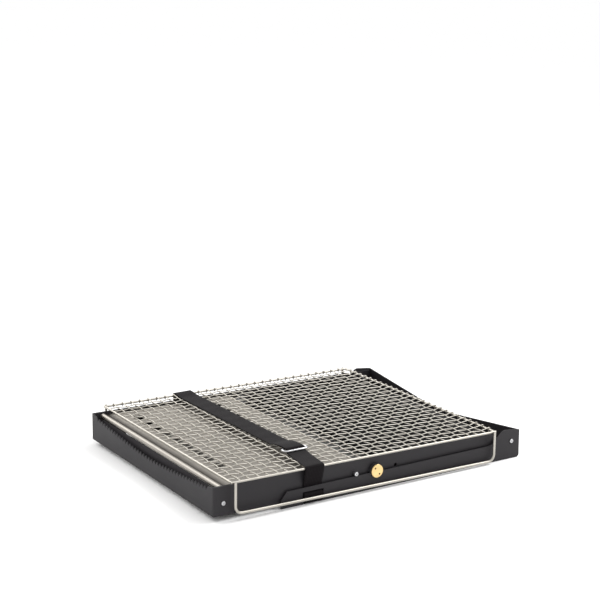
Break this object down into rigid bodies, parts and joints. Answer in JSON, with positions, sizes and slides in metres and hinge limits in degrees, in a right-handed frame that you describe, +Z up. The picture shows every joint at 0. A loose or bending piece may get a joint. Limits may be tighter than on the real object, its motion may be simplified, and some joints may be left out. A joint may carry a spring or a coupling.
{
  "type": "folding fire pit",
  "caption": "Flat-folding fire pit: two crossed sheet-steel frames on side pivots, hearth plates, a lift-off stainless mesh grate and a carrying strap.",
  "frame": {"origin": "centre of the whole part's box, at its base on the ground", "axes": "+X right along the front (long) side, +Y away from the front, +Z up; the part is folded flat"},
  "size_m": [0.4452, 0.3536, 0.0495],
  "materials": {
    "frame_steel": "satin charcoal powder coat",
    "ember_steel": "satin black heat-proof coat",
    "stainless_plate": "bright rolled stainless sheet",
    "stainless_wire": "electropolished stainless wire",
    "bright_steel": "bright turned steel",
    "brass": "polished turned brass",
    "spacer_nylon": "matte",
    "webbing": "woven black webbing"
  },
  "bodies": {
    "outer_frame": {"outer_arm_front": "frame_steel", "outer_arm_rear": "frame_steel", "right_wall": "frame_steel", "ember_plate": "ember_steel", "rivet_right_front": "bright_steel", "rivet_right_rear": "bright_steel", "pivot_cap_front": "brass", "pivot_cap_rear": "brass", "pivot_spacer_front": "spacer_nylon", "pivot_spacer_rear": "spacer_nylon", "pivot_washer_front": "bright_steel", "pivot_washer_rear": "bright_steel", "pivot_screw_front": "bright_steel", "pivot_screw_rear": "bright_steel", "strap_anchor_front": "webbing", "strap_anchor_rear": "webbing"},
    "inner_frame": {"inner_panel_front": "frame_steel", "inner_panel_rear": "frame_steel", "left_wall": "frame_steel", "fire_ledge": "frame_steel", "fire_plate": "stainless_plate", "rivet_left_front": "bright_steel", "rivet_left_rear": "bright_steel", "stop_pin_front": "bright_steel", "stop_pin_rear": "bright_steel"},
    "grate": {"mesh_panel": "stainless_wire", "grate_rim_front": "stainless_wire", "grate_rim_rear": "stainless_wire", "grate_rim_left": "stainless_wire", "grate_rim_right": "stainless_wire", "grate_loop_front": "stainless_wire", "grate_loop_rear": "stainless_wire", "strap_long": "webbing", "strap_short": "webbing", "strap_ring": "bright_steel"}
  },
  "joints": [
    {"name": "frame_fold", "type": "hinge", "parent": "outer_frame", "child": "inner_frame", "pos_m": [0, 0, 0.0225], "axis": [0, 1, 0], "range_deg": [0, 82]},
    {"name": "grate_lift", "type": "slide", "parent": "outer_frame", "child": "grate", "axis": [0, 0, 1], "range_m": [0, 0.38]}
  ],
  "couplings": [
    {"joint": "grate_lift", "follows": "frame_fold", "m_per_rad": 0.26}
  ]
}
